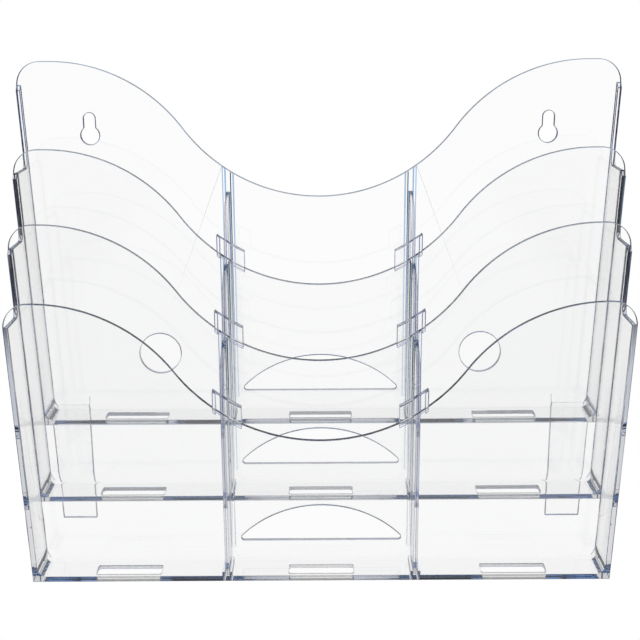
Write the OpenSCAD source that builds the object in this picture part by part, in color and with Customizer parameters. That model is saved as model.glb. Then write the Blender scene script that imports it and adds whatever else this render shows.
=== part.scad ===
// Three-tier magazine rack in clear plastic, with six lift-out dividers.
// Millimetres. +Z is up, the front faces -Y, and the origin is at the centre of the footprint.
// The body is four upright panels, three floors and six side walls. Each tier steps up and back.

/* [Overall] */
// Depth of the rack, from the dividers' front lips to the back panel's rear face
rack_depth = 88.9; // [85:0.1:95]
// Height of the rack
rack_height = 292.1; // [285:0.1:300]
// Half of the body's width at its base
base_half_w = 168.4; // [165:0.1:172]
// Outward lean of the side walls, in millimetres for each millimetre of height
side_lean = 0.0338; // [0.02:0.0002:0.04]
// Thickness of the panels, floors and side walls
wall = 2.5; // [2:0.1:3]

/* [Tiers] */
// Height that each tier stands above the one in front
tier_rise = 38.1; // [34:0.1:42]
// Height of a pocket's front panel, from the underside of its floor to its corners
pocket_h = 168.2; // [160:0.1:175]
// Radius of the panels' top corners
corner_r = 14; // [8:0.5:14]
// Inside radius where a floor meets the side walls and bends up into the panel behind it
fillet_r = 6; // [3:0.5:8]

/* [Bell-shaped top edge] */
// Half of the distance between the two crests
bell_half_w = 158; // [150:0.5:158]
// Depth of the dip below the crests
bell_drop = 80.3; // [70:0.1:90]

/* [Openings] */
// Width of the half-moon finger opening
moon_w = 95.9; // [80:0.1:96]
// Height of the half-moon finger opening
moon_h = 22.5; // [18:0.1:23]
// Height of the finger opening's flat edge above the underside of its tier's floor
moon_z = 12.4; // [11:0.1:14]
// Diameter of the two round holes in the back panel
round_hole_d = 25.4; // [15:0.1:30]
// Distance of the round holes from the centre
round_hole_x = 100; // [90:0.5:110]
// Height of the round holes' centres
round_hole_z = 113; // [105:0.5:125]
// Width of the slots in the floors
slot_w = 38; // [30:0.5:40]
// Depth of the slots in the floors, from front to back
slot_d = 10; // [8:0.5:11]
// Distance of the outer slots from the centre
slot_x = 113.2; // [95:0.1:125]

/* [Wall mounting] */
// Distance of the keyholes from the centre
keyhole_x = 136.2; // [125:0.1:145]
// Height of the centre of each keyhole's round part
keyhole_z = 248.8; // [240:0.1:255]
// Diameter of the keyhole's round part
keyhole_d = 10.8; // [9:0.1:12]
// Width of the keyhole's neck
keyhole_neck_w = 6.6; // [5:0.1:6.6]
// Height of a whole keyhole
keyhole_h = 18.7; // [16:0.1:20]

/* [Dividers] */
// Distance of the dividers' centre planes from the centre
divider_x = 54.9; // [52:0.1:58]
// Thickness of a divider
divider_t = 2.4; // [2:0.1:2.6]
// Height of a divider's rear edge above the underside of its tier's floor
divider_h = 138.7; // [125:0.1:139]
// Height of the clip tab above the panel's edge
tab_h = 10; // [8:0.5:12]
// Width of the clip tab on the side nearer the centre
tab_in = 10.8; // [9:0.1:12]
// Width of the clip tab on the outer side
tab_out = 5.4; // [5:0.1:7]
// Depth by which the clip tab's lips reach down over the panel's edge
lip_h = 2.5; // [2:0.1:4]
// Distance by which the clip tab stands proud of the panel's faces
lip_proud = 1.5; // [1.2:0.1:2]

/* [Hidden] */

FRONT = 0;
MIDDLE = 1;
REAR = 2;
BACK = 3;
LEFT = -1;
RIGHT = 1;

clear_plastic = [0.86, 0.90, 0.96, 0.45];
clear_divider = [0.80, 0.84, 0.97, 0.55];
cut = 1;
clearance = 0.3;
arc_steps = 24;
corner_steps = 10;

panel_front_y = lip_proud - rack_depth / 2;
tier_pitch = (rack_depth - lip_proud - wall) / 3;
lean_angle = atan(side_lean);
wall_x = wall / cos(lean_angle);
side_top_drop = corner_r;
flange_d = 2.5;
flange_r = 4;

bell_angle = 2 * atan(bell_drop / bell_half_w);
bell_radii = bell_half_w / sin(bell_angle);
dip_r = 0.514 * bell_radii;
crest_r = bell_radii - dip_r;

moon_corner_r = 1.6;
moon_half = moon_w / 2 - moon_corner_r;
moon_r = (pow(moon_half, 2) / (moon_h - 2 * moon_corner_r) + moon_h) / 2;

guide_gap = divider_t + 0.8;
guide_t = 1.6;
guide_proud = 2;
floor_guide_t = 1.1;
floor_guide_h = 2.4;

bend_r = fillet_r + wall;
leg_inner_x = 146.5;
slot_setback = 6;
slot_corner_r = 1.5;

// Places that depend on the tier
function floor_z(tier) = tier * tier_rise;
function floor_top(tier) = floor_z(tier) + wall;
function panel_y(tier) = panel_front_y + tier * tier_pitch;
function panel_base(tier) = floor_z(max(0, tier - 1));
function panel_top(tier) = tier == BACK ? rack_height : floor_z(tier) + pocket_h;

// Half of the body's width at a height, outside and inside the side walls
function half_w(z) = base_half_w + side_lean * z;
function inner_half_w(z) = half_w(z) - wall_x;

// Height of the bell-shaped edge above the bottom of its dip
function bell(x) =
    abs(x) <= dip_r * sin(bell_angle)
        ? dip_r - sqrt(pow(dip_r, 2) - pow(x, 2))
        : bell_drop - crest_r + sqrt(pow(crest_r, 2) - pow(bell_half_w - abs(x), 2));
function edge_z(tier, x) = panel_top(tier) - bell_drop + bell(x);

function arc(centre, r, from, to, steps) =
    [for (i = [0 : steps]) centre + r * [cos(from + (to - from) * i / steps), sin(from + (to - from) * i / steps)]];
function without_first(points) = [for (i = [1 : len(points) - 1]) points[i]];
function mirrored(points) = [for (i = [len(points) - 1 : -1 : 0]) [-points[i][0], points[i][1]]];

// Right half of a panel's outline: side, rounded corner, crest and half of the dip
function half_outline(base, top) =
    let (corner_z = top - corner_r)
    let (corner_x = half_w(corner_z) - corner_r / cos(lean_angle))
    let (dip_centre = [0, top - bell_drop + dip_r])
    concat(
        [[half_w(base), base]],
        arc([corner_x, corner_z], corner_r, -lean_angle, 90, corner_steps),
        arc([bell_half_w, top - crest_r], crest_r, 90, 90 + bell_angle, arc_steps),
        without_first(arc(dip_centre, dip_r, bell_angle - 90, -90, arc_steps))
    );
function panel_outline(base, top) =
    let (right = half_outline(base, top))
    concat(right, without_first(mirrored(right)));

// Outline of the half-moon, with its flat edge on the X axis
function moon_outline() =
    let (tip_angle = atan2(moon_r - moon_h + moon_corner_r, moon_half))
    let (right = arc([moon_half, moon_corner_r], moon_corner_r, -90, tip_angle, corner_steps))
    let (top = arc([0, moon_h - moon_r], moon_r, tip_angle, 180 - tip_angle, arc_steps))
    concat(right, without_first(top), without_first(mirrored(right)));

// An XZ outline made into a plate whose front face is at y
module upright_plate(y, thickness) {
    translate([0, y + thickness, 0])
        rotate([90, 0, 0])
            linear_extrude(thickness)
                children();
}

// A YZ outline made into a plate whose left face is at x
module sideways_plate(x, thickness) {
    translate([x, 0, 0])
        rotate([90, 0, 90])
            linear_extrude(thickness)
                children();
}

// What lies outside the bend where a tier's floor turns up into the panel behind it
module outside_bend(tier, half) {
    start_y = panel_y(tier + 1) - fillet_r;
    crest = floor_top(tier) + fillet_r;
    sideways_plate(-half, 2 * half)
        difference() {
            translate([start_y, crest - bend_r - cut])
                square(bend_r + cut);
            translate([start_y, crest])
                circle(bend_r, $fn = 96);
        }
}

module rounded_rect(size, r) {
    square([size[0], size[1] - 2 * r], center = true);
    square([size[0] - 2 * r, size[1]], center = true);
    for (x = [-1, 1], y = [-1, 1])
        translate([x * (size[0] / 2 - r), y * (size[1] / 2 - r)])
            circle(r, $fn = 32);
}

// Two ribs on a panel's front face that hold the rear edges of the dividers in front of it
module guide_ribs(tier) {
    rib_base = floor_top(tier - 1) + fillet_r;
    intersection() {
        upright_plate(panel_y(tier) - guide_proud, guide_proud)
            polygon(panel_outline(panel_base(tier), panel_top(tier)));
        for (side = [LEFT, RIGHT], rib = [-1, 1])
            translate([
                side * divider_x + rib * (guide_gap + guide_t) / 2 - guide_t / 2,
                panel_y(tier) - guide_proud,
                rib_base
            ])
                cube([guide_t, guide_proud, rack_height]);
    }
}

module finger_opening(tier) {
    translate([0, 0, floor_z(tier - 1) + moon_z])
        upright_plate(panel_y(tier) - cut, wall + 2 * cut)
            polygon(moon_outline());
}

module keyhole() {
    neck_r = keyhole_neck_w / 2;
    neck_top = keyhole_h - keyhole_d / 2 - neck_r;
    translate([0, panel_y(BACK) + wall + cut, keyhole_z])
        rotate([90, 0, 0]) {
            cylinder(d = keyhole_d, h = wall + 2 * cut, $fn = 64);
            translate([-neck_r, 0, 0])
                cube([2 * neck_r, neck_top, wall + 2 * cut]);
            translate([0, neck_top, 0])
                cylinder(r = neck_r, h = wall + 2 * cut, $fn = 48);
        }
}

module round_hole() {
    translate([0, panel_y(BACK) + wall + cut, round_hole_z])
        rotate([90, 0, 0])
            cylinder(d = round_hole_d, h = wall + 2 * cut, $fn = 96);
}

// The gap between the back panel's two legs
module leg_notch() {
    translate([-leg_inner_x, panel_y(BACK) - cut, -cut])
        cube([2 * leg_inner_x, wall + 2 * cut, panel_base(BACK) + cut]);
}

// One upright panel of the body, numbered from the front
module panel(tier) {
    base = tier == BACK ? 0 : panel_base(tier);
    color(clear_plastic) {
        difference() {
            upright_plate(panel_y(tier), wall)
                polygon(panel_outline(base, panel_top(tier)));
            if (tier > FRONT) {
                finger_opening(tier);
                outside_bend(tier - 1, tier == BACK ? leg_inner_x : half_w(rack_height));
            }
            if (tier == BACK) {
                leg_notch();
                for (side = [LEFT, RIGHT]) {
                    translate([side * keyhole_x, 0, 0])
                        keyhole();
                    translate([side * round_hole_x, 0, 0])
                        round_hole();
                }
            }
        }
        if (tier > FRONT)
            guide_ribs(tier);
    }
}

// The concave fillet's section, with its square corner at the origin
module fillet_section() {
    difference() {
        square(fillet_r);
        translate([fillet_r, fillet_r])
            circle(fillet_r, $fn = 64);
    }
}

// A tier's floor, with fillets up its two ends and a bend up into the panel behind it
module tier_floor(tier) {
    front = panel_y(tier) + wall;
    depth = tier_pitch - wall;
    low = floor_z(tier);
    top = floor_top(tier);
    crest = top + fillet_r;
    color(clear_plastic) {
        difference() {
            intersection() {
                upright_plate(front, depth)
                    polygon([
                        [-inner_half_w(low), low], [inner_half_w(low), low],
                        [inner_half_w(crest), crest], [-inner_half_w(crest), crest]
                    ]);
                union() {
                    translate([-half_w(top), front, low])
                        cube([2 * half_w(top), depth, wall]);
                    sideways_plate(-half_w(top), 2 * half_w(top))
                        translate([front + depth, top])
                            mirror([1, 0])
                                fillet_section();
                    for (side = [0, 1])
                        mirror([side, 0, 0])
                            upright_plate(front, depth)
                                translate([inner_half_w(crest), top])
                                    mirror([1, 0])
                                        fillet_section();
                }
            }
            outside_bend(tier, half_w(top));
            for (x = [-slot_x, 0, slot_x])
                translate([x, panel_y(tier) + slot_setback + slot_d / 2, low - cut])
                    linear_extrude(wall + 2 * cut)
                        rounded_rect([slot_w, slot_d], slot_corner_r);
        }
        for (side = [LEFT, RIGHT], rib = [-1, 1])
            translate([
                side * divider_x + rib * (guide_gap + floor_guide_t) / 2 - floor_guide_t / 2,
                front,
                top
            ])
                cube([floor_guide_t, depth - fillet_r, floor_guide_h]);
    }
}

// A tier's side wall, between two panels, level with the front panel's corner.
// At the rear it follows the floor's bend, and carries on up the next panel as a narrow flange.
module side_wall(tier, side) {
    front = panel_y(tier) + wall;
    back = panel_y(tier + 1);
    front_top = panel_top(tier) - side_top_drop;
    back_top = panel_top(tier + 1) - side_top_drop;
    flange_bend = [back - flange_d - flange_r, front_top + flange_r];
    floor_bend = [back - fillet_r, floor_top(tier) + fillet_r];
    color(clear_plastic)
        mirror([side == LEFT ? 1 : 0, 0, 0])
            intersection() {
                sideways_plate(base_half_w - 2 * wall, 8 * wall)
                    polygon(concat(
                        [[front, floor_z(tier)]],
                        arc(floor_bend, bend_r, -90, -acos(fillet_r / bend_r), corner_steps),
                        [[back, back_top], [back - flange_d, back_top - flange_d]],
                        arc(flange_bend, flange_r, 0, -90, corner_steps),
                        [[front, front_top]]
                    ));
                translate([base_half_w, front, 0])
                    rotate([0, lean_angle, 0])
                        translate([-wall, 0, -2 * wall])
                            cube([wall, back - front, rack_height]);
            }
}

// The upright part of a divider, with a rounded foot and a quarter-ellipse top
module divider_plate(tier) {
    front = panel_y(tier) + wall + clearance;
    back = panel_y(tier + 1) - clearance;
    foot = floor_top(tier) + clearance;
    foot_r = fillet_r - clearance;
    shoulder = edge_z(tier, divider_x) + tab_h;
    rise = floor_z(tier) + divider_h - shoulder;
    sideways_plate(divider_x - divider_t / 2, divider_t)
        polygon(concat(
            [[front, foot]],
            arc([back - foot_r, foot + foot_r], foot_r, -90, 0, corner_steps),
            [for (i = [0 : arc_steps])
                let (a = 90 * i / arc_steps)
                [back - (back - front) * sin(a), shoulder + rise * cos(a)]]
        ));
}

// The saddle that clips over the panel's edge, following the bell curve
module divider_tab(tier) {
    inner = divider_x - tab_in;
    outer = divider_x + tab_out;
    xs = [for (i = [0 : corner_steps]) inner + (outer - inner) * i / corner_steps];
    front = panel_y(tier) - lip_proud;
    depth = wall + 2 * lip_proud;
    notch_w = guide_gap + 2 * guide_t + 2 * clearance;
    difference() {
        upright_plate(front, depth)
            polygon(concat(
                [for (x = xs) [x, edge_z(tier, x) - lip_h]],
                [for (i = [corner_steps : -1 : 0]) [xs[i], edge_z(tier, xs[i]) + tab_h]]
            ));
        upright_plate(panel_y(tier) - clearance, wall + 2 * clearance)
            polygon(concat(
                [[inner - cut, edge_z(tier, inner) - lip_h - cut]],
                [[outer + cut, edge_z(tier, inner) - lip_h - cut]],
                [[outer + cut, edge_z(tier, outer + cut) + clearance]],
                [for (i = [corner_steps : -1 : 0]) [xs[i], edge_z(tier, xs[i]) + clearance]],
                [[inner - cut, edge_z(tier, inner - cut) + clearance]]
            ));
        translate([divider_x - notch_w / 2, front - cut, floor_z(tier)])
            cube([notch_w, lip_proud + cut, rack_height]);
    }
}

module divider(tier, side) {
    color(clear_divider)
        mirror([side == LEFT ? 1 : 0, 0, 0]) {
            divider_plate(tier);
            divider_tab(tier);
        }
}

module front_panel() { panel(FRONT); }
module middle_panel() { panel(MIDDLE); }
module rear_panel() { panel(REAR); }
module back_panel() { panel(BACK); }
module front_floor() { tier_floor(FRONT); }
module middle_floor() { tier_floor(MIDDLE); }
module rear_floor() { tier_floor(REAR); }
module front_wall_left() { side_wall(FRONT, LEFT); }
module front_wall_right() { side_wall(FRONT, RIGHT); }
module middle_wall_left() { side_wall(MIDDLE, LEFT); }
module middle_wall_right() { side_wall(MIDDLE, RIGHT); }
module rear_wall_left() { side_wall(REAR, LEFT); }
module rear_wall_right() { side_wall(REAR, RIGHT); }
module front_divider_left() { divider(FRONT, LEFT); }
module front_divider_right() { divider(FRONT, RIGHT); }
module middle_divider_left() { divider(MIDDLE, LEFT); }
module middle_divider_right() { divider(MIDDLE, RIGHT); }
module rear_divider_left() { divider(REAR, LEFT); }
module rear_divider_right() { divider(REAR, RIGHT); }

front_panel();
middle_panel();
rear_panel();
back_panel();
front_floor();
middle_floor();
rear_floor();
front_wall_left();
front_wall_right();
middle_wall_left();
middle_wall_right();
rear_wall_left();
rear_wall_right();
front_divider_left();
front_divider_right();
middle_divider_left();
middle_divider_right();
rear_divider_left();
rear_divider_right();
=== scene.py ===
"""Clear three-tier magazine rack with six lift-out dividers, on a pale floor.

Everything is in metres and in the CAD model's frame: X across, Y to the back, Z up."""

import math

import bmesh
import bpy
from mathutils import Matrix, Vector


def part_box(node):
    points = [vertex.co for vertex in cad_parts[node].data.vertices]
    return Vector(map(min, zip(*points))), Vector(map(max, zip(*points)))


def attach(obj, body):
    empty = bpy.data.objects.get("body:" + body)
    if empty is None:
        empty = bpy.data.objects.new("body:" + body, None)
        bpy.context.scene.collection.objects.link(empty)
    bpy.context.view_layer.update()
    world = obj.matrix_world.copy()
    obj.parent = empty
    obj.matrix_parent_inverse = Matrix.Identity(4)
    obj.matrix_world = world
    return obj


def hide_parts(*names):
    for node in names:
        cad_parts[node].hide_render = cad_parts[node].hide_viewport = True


MM = 0.001

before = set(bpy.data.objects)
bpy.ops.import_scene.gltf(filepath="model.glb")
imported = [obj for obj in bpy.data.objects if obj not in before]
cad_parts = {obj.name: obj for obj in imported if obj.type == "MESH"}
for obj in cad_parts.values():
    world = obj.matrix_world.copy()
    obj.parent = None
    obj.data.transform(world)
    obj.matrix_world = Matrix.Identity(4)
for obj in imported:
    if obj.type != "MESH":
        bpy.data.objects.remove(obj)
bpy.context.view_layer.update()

# Sizes that the CAD model gives through its nodes
PANELS = ("front_panel", "middle_panel", "rear_panel", "back_panel")
FLOORS = ("front_floor", "middle_floor", "rear_floor")
WALLS = [f"{tier}_wall_{side}" for tier in ("front", "middle", "rear") for side in ("left", "right")]
DIVIDERS = [f"{tier}_divider_{side}" for tier in ("front", "middle", "rear") for side in ("left", "right")]

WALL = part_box("front_panel")[1].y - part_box("front_panel")[0].y
PANEL_Y = [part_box(name)[1].y - WALL for name in PANELS]
PANEL_TOP = [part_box(name)[1].z for name in PANELS]
FLOOR_Z = [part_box(name)[0].z for name in FLOORS]

# Sizes that only the CAD source names
BASE_HALF_W = 168.4 * MM
LEAN = 0.0338
CORNER_R = 14 * MM
FILLET_R = 6 * MM
FLANGE_D = 2.5 * MM
FLANGE_R = 4 * MM
BELL_HALF_W = 158 * MM
BELL_DROP = 80.3 * MM
DIP_SHARE = 0.514
MOON_W = 95.9 * MM
MOON_H = 22.5 * MM
MOON_Z = 12.4 * MM
MOON_CORNER_R = 1.6 * MM
ROUND_HOLE_D = 25.4 * MM
ROUND_HOLE_X = 100 * MM
ROUND_HOLE_Z = 113 * MM
SLOT_W = 38 * MM
SLOT_D = 10 * MM
SLOT_X = 113.2 * MM
SLOT_SETBACK = 6 * MM
SLOT_CORNER_R = 1.5 * MM
KEYHOLE_X = 136.2 * MM
KEYHOLE_Z = 248.8 * MM
KEYHOLE_D = 10.8 * MM
KEYHOLE_NECK_W = 6.6 * MM
KEYHOLE_H = 18.7 * MM
LEG_INNER_X = 146.5 * MM
DIVIDER_X = 54.9 * MM
GUIDE_GAP = 3.2 * MM
GUIDE_T = 1.6 * MM
GUIDE_PROUD = 2 * MM
FLOOR_GUIDE_T = 1.1 * MM
FLOOR_GUIDE_H = 2.4 * MM

# How far a solid that cuts or is cut away reaches past the body
OVER = 4 * MM
# How far below its rounded corners a panel's wide part ends, before the body is cut to its sides
BELOW_CORNER = 0.5 * MM
# How far below the walls' tops a tier's block ends inside the panels
HIDDEN_DROP = 3 * MM
# How far the notch between the legs starts in front of the back panel and below the bend
NOTCH_FRONT = MM / 10
NOTCH_DROP = MM / 5

# Straight pieces in each arc
BELL_STEPS = 64
CORNER_STEPS = 24
PART_BEND_STEPS = 12
FLANGE_STEPS = 12
MOON_STEPS = 48
MOON_CORNER_STEPS = 16
KEYHOLE_STEPS = 40
KEYHOLE_NECK_STEPS = 20
ROUND_HOLE_STEPS = 96
SLOT_CORNER_STEPS = 8

# Finishing of the meshes
BODY_EDGE_R = 0.4 * MM
DIVIDER_EDGE_R = 0.25 * MM
EDGE_SEGMENTS = 2
MERGE_DISTANCE = 2e-6
DISSOLVE_ANGLE = math.radians(0.2)
ROUND_FROM_ANGLE = math.radians(40)
SHARP_FROM_ANGLE = math.radians(10)
FLAT_ANGLE = math.radians(0.1)

# How near a face lies to a slot or a guide, and which way it faces, to get another material
NEAR = MM / 2
FACES_LEVEL = 0.1
FACES_SIDEWAYS = 0.9

# The plastic: what is left of white light inside it, and how its surface scatters
BODY_TINT = (0.40, 0.66, 0.90)
BODY_DENSITY = 1.2
DIVIDER_TINT = (0.45, 0.55, 0.92)
DIVIDER_DENSITY = 2
REFRACTION = 1.59
RIPPLE = 0.12
CLEAR_ROUGH = (0.012, 0.07)
MATTE_ROUGH = (0.3, 0.5)
MATTE_CLEARNESS = 0.2

# Painted shade of the rounded strips, in place of the dark lines that refraction draws along the plastic's
# edges: colours where they run upright and where they face up or down
BODY_EDGE_SHADE = ((0, 0, 0.015), (0.3, 0.31, 0.34))
# Paler painted shade for the strips at the guides and slots
BODY_GUIDE_EDGE_SHADE = ((0.9, 0.9, 0.92), (0.85, 0.85, 0.87))
# Painted shade for the dividers' strips
DIVIDER_EDGE_SHADE = ((0.5, 0.5, 0.56), (0.6, 0.6, 0.63))
# A paler colour, mixed in patches into the painted shade along the strips
EDGE_SHADE_PATCHES = (0.8, 0.82, 0.9)

# Slots of the body's materials; EDGE and GUIDE_EDGE are the rounded strips, which carry painted shade
PLAIN, EDGE, GUIDE_EDGE, MATTE = range(4)

# Brightness of the floor and of the room, by how often the light was reflected on its way
FLOOR_STOPS = (
    (0, (1, 1, 1)),
    (1, (0.72, 0.72, 0.72)),
    (4, (0.66, 0.66, 0.67)),
    (7, (0.5, 0.52, 0.6)),
    (10, (0.2, 0.32, 0.6)),
    (18, (0.1, 0.25, 0.55)),
    (23, (0.01, 0.03, 0.12)),
    (28, (0, 0, 0.005)),
)
SKY_STOPS = (
    (0, (1, 1, 1)),
    (1, (0.62, 0.62, 0.62)),
    (4, (0.58, 0.58, 0.59)),
    (7, (0.42, 0.46, 0.56)),
    (10, (0.15, 0.28, 0.58)),
    (18, (0.07, 0.2, 0.5)),
    (23, (0.005, 0.02, 0.1)),
    (28, (0, 0, 0.005)),
)

# The dark cards: their colour, the distance or direction along X where they begin and are whole,
# and the least number of reflections after which they are seen
CARD = (0.004, 0.004, 0.012)
FLOOR_CARD_AT = (0.26, 0.32)
FLOOR_CARD_FROM = 2
SKY_CARD_AT = (0.75, 0.85)
SKY_CARD_FROM = 1

FLOOR_HALF_W = 40
FLOOR_TOP = -0.0002
FLOOR_BOTTOM = -0.02

CAMERA_AT = (0, -0.634, 0.331)
CAMERA_DOWN = math.radians(16.26)
CAMERA_ROLL = math.radians(-0.3)
CAMERA_LENS_MM = 63.56
SENSOR_MM = 36

# Sockets of a Mix node for colours, which share their names with its other sockets
MIX_A = 6
MIX_B = 7
MIX_RESULT = 2

BELL_ANGLE = 2 * math.atan(BELL_DROP / BELL_HALF_W)
DIP_R = DIP_SHARE * BELL_HALF_W / math.sin(BELL_ANGLE)
CREST_R = (1 - DIP_SHARE) * BELL_HALF_W / math.sin(BELL_ANGLE)
LEAN_ANGLE = math.atan(LEAN)
WALL_X = WALL / math.cos(LEAN_ANGLE)
BEND_R = FILLET_R + WALL
BEND_MEETS_PANEL = -math.acos(FILLET_R / BEND_R)


def half_w(z):
    """Half of the body's width outside the side walls, at a height."""
    return BASE_HALF_W + LEAN * z


# Outlines, as lists of (u, v) points


def arc(centre, r, start, end, steps):
    """Points on a circle from one angle to another, in radians."""
    turns = [start + (end - start) * i / steps for i in range(steps + 1)]
    return [(centre[0] + r * math.cos(a), centre[1] + r * math.sin(a)) for a in turns]


def both_sides(right):
    """The whole outline from its right half, whose last point lies on the centre line."""
    return right + [(-u, v) for u, v in reversed(right[:-1])]


def bell_edge(top):
    """The right half of a panel's bell-shaped edge, from its crest to the middle of its dip."""
    upright = math.pi / 2
    crest = arc((BELL_HALF_W, top - CREST_R), CREST_R, upright, upright + BELL_ANGLE, BELL_STEPS)
    dip = arc((0, top - BELL_DROP + DIP_R), DIP_R, BELL_ANGLE - upright, -upright, BELL_STEPS)
    return crest + dip[1:]


def panel_outline(base, top, over):
    """A panel's outline, wider than the body by over below its rounded corners."""
    corner_z = top - CORNER_R
    corner_x = half_w(corner_z) - CORNER_R / math.cos(LEAN_ANGLE)
    side = [(half_w(base) + over, base)]
    if over:
        side.append((half_w(corner_z) + over, corner_z - BELOW_CORNER))
        side.append((half_w(corner_z - BELOW_CORNER), corner_z - BELOW_CORNER))
    corner = arc((corner_x, corner_z), CORNER_R, -LEAN_ANGLE, math.pi / 2, CORNER_STEPS)
    return both_sides(side + corner + bell_edge(top))


def dip_outline(top):
    """The region above a panel's bell-shaped edge, between its two crests."""
    return both_sides([(BELL_HALF_W, top + OVER)] + bell_edge(top))


def moon_outline(z):
    """The half-moon finger opening, with its flat edge at height z."""
    half = MOON_W / 2 - MOON_CORNER_R
    r = (half**2 / (MOON_H - 2 * MOON_CORNER_R) + MOON_H) / 2
    tip = math.atan2(r - MOON_H + MOON_CORNER_R, half)
    right = arc((half, z + MOON_CORNER_R), MOON_CORNER_R, -math.pi / 2, tip, MOON_CORNER_STEPS)
    top = arc((0, z + MOON_H - r), r, tip, math.pi / 2, MOON_STEPS)
    return both_sides(right + top[1:])


def keyhole_outline(x):
    """A keyhole with its round part below and its neck going up."""
    r = KEYHOLE_D / 2
    neck = KEYHOLE_NECK_W / 2
    round_part = arc((0, KEYHOLE_Z), r, -math.pi / 2, math.acos(neck / r), KEYHOLE_STEPS)
    neck_centre = (0, KEYHOLE_Z + KEYHOLE_H - r - neck)
    neck_top = arc(neck_centre, neck, 0, math.pi / 2, KEYHOLE_NECK_STEPS)
    return [(x + u, v) for u, v in both_sides(round_part + neck_top)[:-1]]


def outer_bend(tier, start, end, steps):
    """Part of the bend under the rear edge of a tier's floor, in YZ."""
    centre = (PANEL_Y[tier + 1] - FILLET_R, FLOOR_Z[tier] + WALL + FILLET_R)
    return arc(centre, BEND_R, start, end, steps)


def leg_notch_outline():
    """The gap between the back panel's two legs, in YZ, up to the bend above it."""
    start = PANEL_Y[3] - NOTCH_FRONT
    end = PANEL_Y[3] + WALL + OVER
    bend = outer_bend(2, BEND_MEETS_PANEL, 0, PART_BEND_STEPS)
    below = [(start, bend[0][1] - NOTCH_DROP), (start, -OVER), (end, -OVER), (end, bend[-1][1])]
    return below + list(reversed(bend))


def rounded_rect(x, y, w, d, r):
    """A rectangle with rounded corners about a centre."""
    points = []
    for turn, (sx, sy) in enumerate(((1, 1), (-1, 1), (-1, -1), (1, -1))):
        corner = (x + sx * (w / 2 - r), y + sy * (d / 2 - r))
        points += arc(corner, r, turn * math.pi / 2, (turn + 1) * math.pi / 2, SLOT_CORNER_STEPS)
    return points


# Solids, as mesh objects used in cutting and joining


def prism(outline, start, end, axis):
    """A solid from an outline: XZ points along Y, YZ points along X, or XY points along Z."""
    places = {
        "X": lambda u, v, w: (w, u, v),
        "Y": lambda u, v, w: (u, w, v),
        "Z": lambda u, v, w: (u, v, w),
    }
    bm = bmesh.new()
    near = [bm.verts.new(places[axis](u, v, start)) for u, v in outline]
    far = [bm.verts.new(places[axis](u, v, end)) for u, v in outline]
    bm.faces.new(near)
    bm.faces.new(list(reversed(far)))
    for i in range(len(outline)):
        j = (i + 1) % len(outline)
        bm.faces.new((near[j], near[i], far[i], far[j]))
    bmesh.ops.recalc_face_normals(bm, faces=bm.faces)
    mesh = bpy.data.meshes.new("solid")
    bm.to_mesh(mesh)
    bm.free()
    solid = bpy.data.objects.new("solid", mesh)
    bpy.context.scene.collection.objects.link(solid)
    return solid


def block(low, high):
    """A box between two corners."""
    outline = [(low[0], low[2]), (high[0], low[2]), (high[0], high[2]), (low[0], high[2])]
    return prism(outline, low[1], high[1], "Y")


def apply_modifiers(obj):
    """Replaces an object's mesh with what its modifiers make of it."""
    graph = bpy.context.evaluated_depsgraph_get()
    made = bpy.data.meshes.new_from_object(obj.evaluated_get(graph))
    obj.modifiers.clear()
    obj.data = made


def combine(base, others, operation):
    """Joins the other solids to base, cuts them from it, or keeps what they share, and removes them."""
    for other in others:
        step = base.modifiers.new("combine", "BOOLEAN")
        step.operation = operation
        step.solver = "MANIFOLD"
        step.object = other
        apply_modifiers(base)
        bpy.data.objects.remove(other)
    return base


def round_edges(obj, width):
    """Rounds an object's edges, and gives the rounded strips its second material."""
    bevel = obj.modifiers.new("edges", "BEVEL")
    bevel.width = width
    bevel.segments = EDGE_SEGMENTS
    bevel.limit_method = "ANGLE"
    bevel.angle_limit = ROUND_FROM_ANGLE
    bevel.use_clamp_overlap = False
    bevel.loop_slide = False
    bevel.material = EDGE
    apply_modifiers(obj)


# The rack's body


def tier_block(tier):
    """The solid that a tier's floor and side walls are left from, between the middles of two panels."""
    front, back = PANEL_Y[tier], PANEL_Y[tier + 1]
    low = FLOOR_Z[tier] - OVER
    front_top = PANEL_TOP[tier] - CORNER_R
    back_top = PANEL_TOP[tier + 1] - CORNER_R
    bend = (back - FLANGE_D - FLANGE_R, front_top + FLANGE_R)
    side = [
        (front + WALL / 2, low),
        (back + WALL / 2, low),
        (back + WALL / 2, back_top - HIDDEN_DROP),
        (back, back_top),
        (back - FLANGE_D, back_top - FLANGE_D),
        *reversed(arc(bend, FLANGE_R, -math.pi / 2, 0, FLANGE_STEPS)),
        (front + WALL, front_top),
        (front + WALL / 2, front_top - HIDDEN_DROP),
    ]
    reach = half_w(PANEL_TOP[3]) + OVER
    return prism(side, -reach, reach, "X")


def pocket(tier):
    """The space inside a tier, with rounded corners along its two ends and its rear edge."""
    front, back = PANEL_Y[tier] + WALL, PANEL_Y[tier + 1]
    low, high = FLOOR_Z[tier] + WALL, PANEL_TOP[3] + OVER
    crest = low + FILLET_R
    end_x = half_w(crest) - WALL_X
    right = [(0, low)] + arc((end_x - FILLET_R, crest), FILLET_R, -math.pi / 2, 0, CORNER_STEPS)
    right.append((half_w(high) - WALL_X, high))
    across = [(-u, v) for u, v in reversed(right[1:])] + right[1:]
    space = prism(across, front, back, "Y")
    reach = half_w(high) + OVER
    round_edge = arc((back - FILLET_R, crest), FILLET_R, -math.pi / 2, 0, CORNER_STEPS)
    along = [(front, low)] + round_edge + [(back, high), (front, high)]
    return combine(space, [prism(along, -reach, reach, "X")], "INTERSECT")


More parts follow.
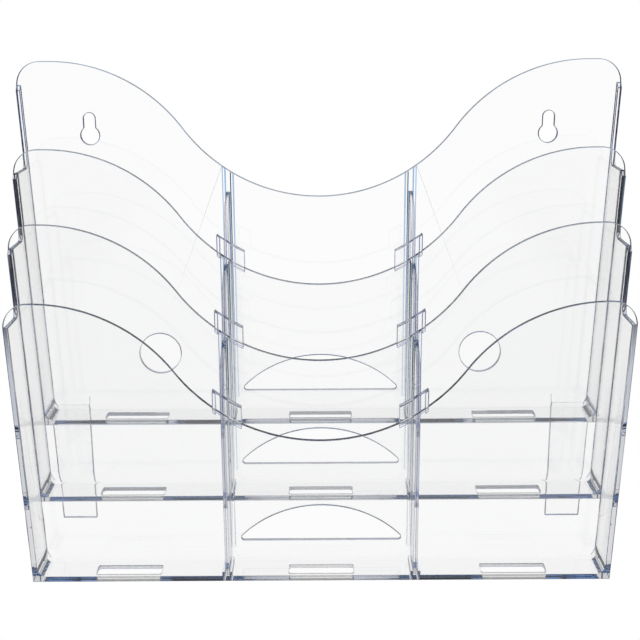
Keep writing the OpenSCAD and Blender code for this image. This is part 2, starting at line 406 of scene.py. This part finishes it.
def envelope():
    """The body's outer limits: sloped ends, a bottom that steps up and back in bends, and the rear legs."""
    high = PANEL_TOP[3] + OVER
    rear = [y + WALL for y in PANEL_Y]
    under = [(PANEL_Y[0], FLOOR_Z[0])]
    for tier in (0, 1):
        under += outer_bend(tier, -math.pi / 2, 0, CORNER_STEPS)
        under.append((rear[tier + 1], FLOOR_Z[tier + 1]))
    under += outer_bend(2, -math.pi / 2, BEND_MEETS_PANEL, PART_BEND_STEPS)
    under += [(PANEL_Y[3], FLOOR_Z[0]), (rear[3], FLOOR_Z[0])]
    reach = half_w(high) + OVER
    shape = prism(under + [(rear[3], high), (PANEL_Y[0], high)], -reach, reach, "X")
    low = FLOOR_Z[0]
    ends = [(-half_w(low), low), (half_w(low), low), (half_w(high), high), (-half_w(high), high)]
    return combine(shape, [prism(ends, PANEL_Y[0] - OVER, rear[3] + OVER, "Y")], "INTERSECT")


def rib_places(thickness):
    """Where the ribs of two pairs of guides stand along X."""
    return [
        side * DIVIDER_X + rib * (GUIDE_GAP + thickness) / 2
        for side in (-1, 1)
        for rib in (-1, 1)
    ]


def guide_ribs(tier):
    """The two pairs of ribs on a panel's front face, between which a divider's rear edge slides."""
    y = PANEL_Y[tier]
    half = GUIDE_T / 2
    low = FLOOR_Z[tier - 1] + WALL + FILLET_R
    bars = [
        block((x - half, y - GUIDE_PROUD, low), (x + half, y + WALL / 2, PANEL_TOP[3]))
        for x in rib_places(GUIDE_T)
    ]
    ribs = combine(bars[0], bars[1:], "UNION")
    outline = panel_outline(FLOOR_Z[tier - 1], PANEL_TOP[tier], 0)
    shape = prism(outline, y - 2 * GUIDE_PROUD, y + WALL, "Y")
    return combine(ribs, [shape], "INTERSECT")


def floor_guides(tier):
    """Two pairs of low ribs on a floor that hold the dividers' feet."""
    half = FLOOR_GUIDE_T / 2
    low = FLOOR_Z[tier] + WALL
    front, back = PANEL_Y[tier] + WALL / 2, PANEL_Y[tier + 1] - FILLET_R
    return [
        block((x - half, front, low - WALL / 2), (x + half, back, low + FLOOR_GUIDE_H))
        for x in rib_places(FLOOR_GUIDE_T)
    ]


def holes():
    """Solids for every opening that goes through a panel or a floor."""
    cuts = []
    for tier in (1, 2, 3):
        y = PANEL_Y[tier]
        cuts.append(prism(moon_outline(FLOOR_Z[tier - 1] + MOON_Z), y - OVER, y + WALL + OVER, "Y"))
    back = (PANEL_Y[3] - OVER, PANEL_Y[3] + WALL + OVER)
    for side in (-1, 1):
        cuts.append(prism(keyhole_outline(side * KEYHOLE_X), *back, "Y"))
        centre = (side * ROUND_HOLE_X, ROUND_HOLE_Z)
        ring = arc(centre, ROUND_HOLE_D / 2, 0, 2 * math.pi, ROUND_HOLE_STEPS)
        cuts.append(prism(ring[:-1], *back, "Y"))
    cuts.append(prism(leg_notch_outline(), -LEG_INNER_X, LEG_INNER_X, "X"))
    for tier in (0, 1, 2):
        y = PANEL_Y[tier] + SLOT_SETBACK + SLOT_D / 2
        for x in (-SLOT_X, 0, SLOT_X):
            slot = rounded_rect(x, y, SLOT_W, SLOT_D, SLOT_CORNER_R)
            cuts.append(prism(slot, FLOOR_Z[tier] - OVER, FLOOR_Z[tier] + WALL + OVER, "Z"))
    return cuts


def rack_body():
    """The panels, floors and side walls as one clear piece, with no faces left inside it."""
    plates = []
    for tier, (y, top) in enumerate(zip(PANEL_Y, PANEL_TOP)):
        base = 0 if tier == 3 else FLOOR_Z[max(0, tier - 1)]
        plates.append(prism(panel_outline(base - OVER, top, OVER), y, y + WALL, "Y"))
    body = combine(plates[0], plates[1:] + [tier_block(tier) for tier in range(3)], "UNION")
    body = combine(body, [envelope()], "INTERSECT")
    body = combine(body, [pocket(tier) for tier in range(3)], "DIFFERENCE")
    dips = [
        prism(dip_outline(top), y - OVER, y + WALL + OVER, "Y")
        for y, top in zip(PANEL_Y, PANEL_TOP)
    ]
    body = combine(body, dips, "DIFFERENCE")
    guides = [guide_ribs(tier) for tier in (1, 2, 3)]
    for tier in range(3):
        guides += floor_guides(tier)
    body = combine(body, guides, "UNION")
    return combine(body, holes(), "DIFFERENCE")


# Finishing of the meshes


def flat_regions(bm):
    """Groups of joined faces that lie in one plane, where at least one of them has more than four sides."""
    left = {face for face in bm.faces if face.material_index == PLAIN}
    while left:
        region = {left.pop()}
        to_visit = list(region)
        while to_visit:
            face = to_visit.pop()
            for edge in face.edges:
                for other in edge.link_faces:
                    if other in left and other.normal.angle(face.normal, 1) < FLAT_ANGLE:
                        left.discard(other)
                        region.add(other)
                        to_visit.append(other)
        if any(len(face.verts) > 4 for face in region):
            yield list(region)


def refill_flats(bm):
    """Fills the flat regions again from their outlines alone, to clear overlapping slivers."""
    for region in list(flat_regions(bm)):
        members = set(region)
        edges = {edge for face in region for edge in face.edges}
        outline = [edge for edge in edges if any(face not in members for face in edge.link_faces)]
        normal = region[0].normal.copy()
        bmesh.ops.delete(bm, geom=region, context="FACES_KEEP_BOUNDARY")
        made = bmesh.ops.triangle_fill(bm, use_beauty=True, edges=outline, normal=normal)["geom"]
        for face in made:
            if isinstance(face, bmesh.types.BMFace):
                face.normal_update()
                if face.normal.dot(normal) < 0:
                    face.normal_flip()


def at_guide(point):
    """Whether a point lies on a divider guide."""
    in_panel = any(y < point.y < y + WALL for y in PANEL_Y)
    return abs(abs(point.x) - DIVIDER_X) < GUIDE_GAP / 2 + GUIDE_T + NEAR and not in_panel


def at_slot(point):
    """Whether a point lies on the wall of a floor slot or at its edge."""
    for y, z in zip(PANEL_Y, FLOOR_Z):
        across = min(abs(point.x - x) for x in (-SLOT_X, 0, SLOT_X)) < SLOT_W / 2 + NEAR
        along = abs(point.y - y - SLOT_SETBACK - SLOT_D / 2) < SLOT_D / 2 + NEAR
        if across and along and abs(point.z - z - WALL / 2) < WALL / 2 + NEAR:
            return True
    return False


def body_material(face):
    """The slot of a body face's material, which differs on rounded strips, slot walls and rib sides."""
    point = face.calc_center_median()
    if face.material_index == EDGE:
        # Rounded strips at the guides and slots take the paler painted shade
        return GUIDE_EDGE if at_guide(point) or at_slot(point) else EDGE
    slot_wall = abs(face.normal.z) < FACES_LEVEL and at_slot(point)
    rib_side = abs(face.normal.x) > FACES_SIDEWAYS and at_guide(point)
    return MATTE if slot_wall or rib_side else PLAIN


def finish_mesh(obj, width, material_of=None):
    """Clears leftover edges from flat areas, rounds the edges and fills the flat areas anew.

    The rounded strips take the piece's second material, unless material_of says otherwise."""
    bm = bmesh.new()
    bm.from_mesh(obj.data)
    bmesh.ops.remove_doubles(bm, verts=bm.verts, dist=MERGE_DISTANCE)
    bmesh.ops.dissolve_limit(bm, angle_limit=DISSOLVE_ANGLE, verts=bm.verts, edges=bm.edges)
    refill_flats(bm)
    bm.to_mesh(obj.data)
    bm.free()
    round_edges(obj, width)
    made = obj.data
    bm = bmesh.new()
    bm.from_mesh(made)
    refill_flats(bm)
    if material_of:
        for face in bm.faces:
            face.material_index = material_of(face)
    bm.to_mesh(made)
    bm.free()
    made.set_sharp_from_angle(angle=SHARP_FROM_ANGLE)


def give_materials(obj, materials):
    """Replaces an object's materials."""
    obj.data.materials.clear()
    for material in materials:
        obj.data.materials.append(material)


def keep_inside(body):
    """Moves the few corners that the rounding pushed past the body's sides and rear back onto them."""
    for vert in body.data.vertices:
        limit = half_w(vert.co.z)
        vert.co.x = max(-limit, min(limit, vert.co.x))
        vert.co.y = min(vert.co.y, PANEL_Y[3] + WALL)


# Materials


def wire(tree, kind, values=None, **settings):
    """A new node with its plain settings and its unlinked input values."""
    node = tree.nodes.new(kind)
    for key, value in settings.items():
        setattr(node, key, value)
    for key, value in (values or {}).items():
        node.inputs[key].default_value = value
    return node


def moulded_surface(tree, shader, rough):
    """Faint flow ripple and fine handling marks, which also roughen the surface between two values."""
    link = tree.links.new
    place = wire(tree, "ShaderNodeTexCoord")
    flow = wire(tree, "ShaderNodeTexNoise", {"Scale": 28, "Detail": 1.5, "Roughness": 0.4})
    marks_map = wire(tree, "ShaderNodeMapping", {"Scale": (1, 1, 9), "Rotation": (0.2, 0.4, 0.1)})
    marks = wire(tree, "ShaderNodeTexNoise", {"Scale": 900, "Detail": 2, "Roughness": 0.6})
    worn = wire(
        tree,
        "ShaderNodeMapRange",
        {"From Min": 0.62, "From Max": 0.8, "To Min": rough[0], "To Max": rough[1]},
    )
    flow_bump = wire(tree, "ShaderNodeBump", {"Strength": RIPPLE, "Distance": 0.0004})
    marks_bump = wire(tree, "ShaderNodeBump", {"Strength": 0.04, "Distance": 0.00001})
    link(place.outputs["Object"], flow.inputs["Vector"])
    link(place.outputs["Object"], marks_map.inputs["Vector"])
    link(marks_map.outputs["Vector"], marks.inputs["Vector"])
    link(flow.outputs["Fac"], flow_bump.inputs["Height"])
    link(marks.outputs["Fac"], marks_bump.inputs["Height"])
    link(flow_bump.outputs["Normal"], marks_bump.inputs["Normal"])
    link(marks.outputs["Fac"], worn.inputs["Value"])
    link(worn.outputs["Result"], shader.inputs["Roughness"])
    link(marks_bump.outputs["Normal"], shader.inputs["Normal"])


def strip_shade(tree, upright, level):
    """Painted shade for rounded strips, by whether they run upright, with paler patches along them."""
    link = tree.links.new
    place = wire(tree, "ShaderNodeTexCoord")
    split = wire(tree, "ShaderNodeSeparateXYZ")
    slope = wire(tree, "ShaderNodeMath", operation="ABSOLUTE")
    # Painted shade: one colour where the strip runs upright and the other where it faces up or down
    faces_up = wire(tree, "ShaderNodeMapRange", {"From Min": 0.15, "From Max": 0.5})
    by_slope = wire(tree, "ShaderNodeMix", data_type="RGBA")
    patches = wire(tree, "ShaderNodeTexNoise", {"Scale": 60, "Detail": 2})
    fade = wire(tree, "ShaderNodeMapRange", {"From Min": 0.45, "From Max": 0.75, "To Max": 0.5})
    varied = wire(tree, "ShaderNodeMix", data_type="RGBA")
    by_slope.inputs[MIX_A].default_value = (*upright, 1)
    by_slope.inputs[MIX_B].default_value = (*level, 1)
    varied.inputs[MIX_B].default_value = (*EDGE_SHADE_PATCHES, 1)
    link(place.outputs["Normal"], split.inputs["Vector"])
    link(split.outputs["Z"], slope.inputs[0])
    link(slope.outputs["Value"], faces_up.inputs["Value"])
    link(faces_up.outputs["Result"], by_slope.inputs[0])
    link(place.outputs["Object"], patches.inputs["Vector"])
    link(patches.outputs["Fac"], fade.inputs["Value"])
    link(fade.outputs["Result"], varied.inputs[0])
    link(by_slope.outputs[MIX_RESULT], varied.inputs[MIX_A])
    return varied.outputs[MIX_RESULT]


def clear_plastic(name, tint, density, edge=None, matte=False):
    """Clear moulded polystyrene with a blue tint that builds up along the light's path in it.

    With edge, a pair of colours, it is for the rounded strips. Matte is for the slots' walls and
    the ribs' sides."""
    # With edge, the strips' base colour carries painted shade, darker where they run upright
    material = bpy.data.materials.new(name)
    material.use_nodes = True
    tree = material.node_tree
    tree.nodes.clear()
    link = tree.links.new
    out = wire(tree, "ShaderNodeOutputMaterial")
    shader = wire(
        tree,
        "ShaderNodeBsdfPrincipled",
        {
            "Base Color": (1, 1, 1, 1),
            "IOR": REFRACTION,
            "Transmission Weight": MATTE_CLEARNESS if matte else 1,
        },
    )
    inside = wire(tree, "ShaderNodeVolumeAbsorption", {"Color": (*tint, 1), "Density": density})
    moulded_surface(tree, shader, MATTE_ROUGH if matte else CLEAR_ROUGH)
    if edge:
        link(strip_shade(tree, *edge), shader.inputs["Base Color"])
    link(shader.outputs["BSDF"], out.inputs["Surface"])
    link(inside.outputs["Volume"], out.inputs["Volume"])
    return material


def by_bounces(tree, stops, across, card_at, card_from):
    """A colour that depends on how often the light has been reflected.

    Light reflected at least card_from times also finds a dark card standing on each side, where
    across, a distance or a direction along X, goes beyond the first value of card_at."""
    link = tree.links.new
    most = stops[-1][0]
    path = wire(tree, "ShaderNodeLightPath")
    out_by = wire(tree, "ShaderNodeMath", operation="ABSOLUTE")
    beside = wire(tree, "ShaderNodeMapRange", {"From Min": card_at[0], "From Max": card_at[1]})
    reflected = wire(tree, "ShaderNodeMath", {1: card_from - 0.5}, operation="GREATER_THAN")
    on_card = wire(tree, "ShaderNodeMath", operation="MULTIPLY")
    seen = wire(tree, "ShaderNodeMix", data_type="RGBA")
    seen.inputs[MIX_B].default_value = (*CARD, 1)
    count = wire(tree, "ShaderNodeMath", {1: most}, operation="DIVIDE")
    ramp = wire(tree, "ShaderNodeValToRGB")
    marks = ramp.color_ramp.elements
    while len(marks) < len(stops):
        marks.new(0.5)
    for mark, (times, colour) in zip(marks, stops):
        mark.position = times / most
        mark.color = (*colour, 1)
    link(path.outputs["Glossy Depth"], count.inputs[0])
    link(count.outputs["Value"], ramp.inputs["Fac"])
    link(across, out_by.inputs[0])
    link(out_by.outputs["Value"], beside.inputs["Value"])
    link(path.outputs["Glossy Depth"], reflected.inputs[0])
    link(reflected.outputs["Value"], on_card.inputs[0])
    link(beside.outputs["Result"], on_card.inputs[1])
    link(on_card.outputs["Value"], seen.inputs[0])
    link(ramp.outputs["Color"], seen.inputs[MIX_A])
    return seen.outputs[MIX_RESULT]


def pale_floor():
    """A bright, plain surface, which reflected light finds darker and bluer."""
    material = bpy.data.materials.new("pale_floor")
    material.use_nodes = True
    tree = material.node_tree
    tree.nodes.clear()
    glow = wire(tree, "ShaderNodeEmission")
    out = wire(tree, "ShaderNodeOutputMaterial")
    place = wire(tree, "ShaderNodeTexCoord")
    split = wire(tree, "ShaderNodeSeparateXYZ")
    tree.links.new(place.outputs["Object"], split.inputs["Vector"])
    colour = by_bounces(tree, FLOOR_STOPS, split.outputs["X"], FLOOR_CARD_AT, FLOOR_CARD_FROM)
    tree.links.new(colour, glow.inputs["Color"])
    tree.links.new(glow.outputs["Emission"], out.inputs["Surface"])
    return material


# Camera, floor and light


def make_camera():
    """The camera, in front of the rack and looking a little down on it."""
    camera = bpy.data.objects.new("camera", bpy.data.cameras.new("camera"))
    camera.data.sensor_width = SENSOR_MM
    camera.data.lens = CAMERA_LENS_MM
    camera.data.clip_start = 0.01
    camera.rotation_mode = "QUATERNION"
    camera.location = CAMERA_AT
    sight = Vector((0, math.cos(CAMERA_DOWN), -math.sin(CAMERA_DOWN)))
    aim = sight.to_track_quat("-Z", "Y")
    roll = Matrix.Rotation(CAMERA_ROLL, 3, "Z").to_quaternion()
    camera.rotation_quaternion = aim @ roll
    bpy.context.scene.collection.objects.link(camera)
    bpy.context.scene.camera = camera


def make_floor():
    """A wide floor, just under what the rack stands on."""
    far = FLOOR_HALF_W
    outline = [(-far, -far), (far, -far), (far, far), (-far, far)]
    floor = prism(outline, FLOOR_BOTTOM, FLOOR_TOP, "Z")
    floor.name = "floor"
    floor.data.materials.append(pale_floor())


def make_world():
    """Soft light: white all round for what is seen directly, and darker for what is reflected."""
    world = bpy.data.worlds.new("studio")
    bpy.context.scene.world = world
    world.use_nodes = True
    tree = world.node_tree
    tree.nodes.clear()
    sky = wire(tree, "ShaderNodeBackground")
    out = wire(tree, "ShaderNodeOutputWorld")
    place = wire(tree, "ShaderNodeTexCoord")
    split = wire(tree, "ShaderNodeSeparateXYZ")
    tree.links.new(place.outputs["Generated"], split.inputs["Vector"])
    colour = by_bounces(tree, SKY_STOPS, split.outputs["X"], SKY_CARD_AT, SKY_CARD_FROM)
    tree.links.new(colour, sky.inputs["Color"])
    tree.links.new(sky.outputs["Background"], out.inputs["Surface"])


def set_look():
    """Plain colours, and enough bounces for light that runs along inside the plastic."""
    scene = bpy.context.scene
    scene.view_settings.view_transform = "Standard"
    scene.cycles.use_denoising = True
    scene.cycles.max_bounces = 96
    scene.cycles.transmission_bounces = 96
    scene.cycles.glossy_bounces = 64
    scene.cycles.transparent_max_bounces = 48
    scene.cycles.use_light_tree = False


make_camera()
make_floor()
make_world()
set_look()

# The rounded strips' materials carry painted shade in their base colour
# In the order of PLAIN, EDGE, GUIDE_EDGE and MATTE
body_materials = (
    clear_plastic("clear_body", BODY_TINT, BODY_DENSITY),
    clear_plastic("clear_body_edge_shade", BODY_TINT, BODY_DENSITY, BODY_EDGE_SHADE),
    clear_plastic("clear_body_guide_edge_shade", BODY_TINT, BODY_DENSITY, BODY_GUIDE_EDGE_SHADE),
    clear_plastic("clear_body_matte", BODY_TINT, BODY_DENSITY, matte=True),
)
divider_materials = (
    clear_plastic("clear_divider", DIVIDER_TINT, DIVIDER_DENSITY),
    clear_plastic("clear_divider_edge", DIVIDER_TINT, DIVIDER_DENSITY, DIVIDER_EDGE_SHADE),
)

body = rack_body()
body.name = "rack_body"
give_materials(body, body_materials)
finish_mesh(body, BODY_EDGE_R, body_material)
keep_inside(body)
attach(body, "rack")
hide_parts(*PANELS, *FLOORS, *WALLS)

for node in DIVIDERS:
    tier, _, side = node.split("_")
    divider = bpy.data.objects.new(f"divider_{tier}_{side}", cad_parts[node].data.copy())
    bpy.context.scene.collection.objects.link(divider)
    give_materials(divider, divider_materials)
    finish_mesh(divider, DIVIDER_EDGE_R)
    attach(divider, node)
    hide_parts(node)
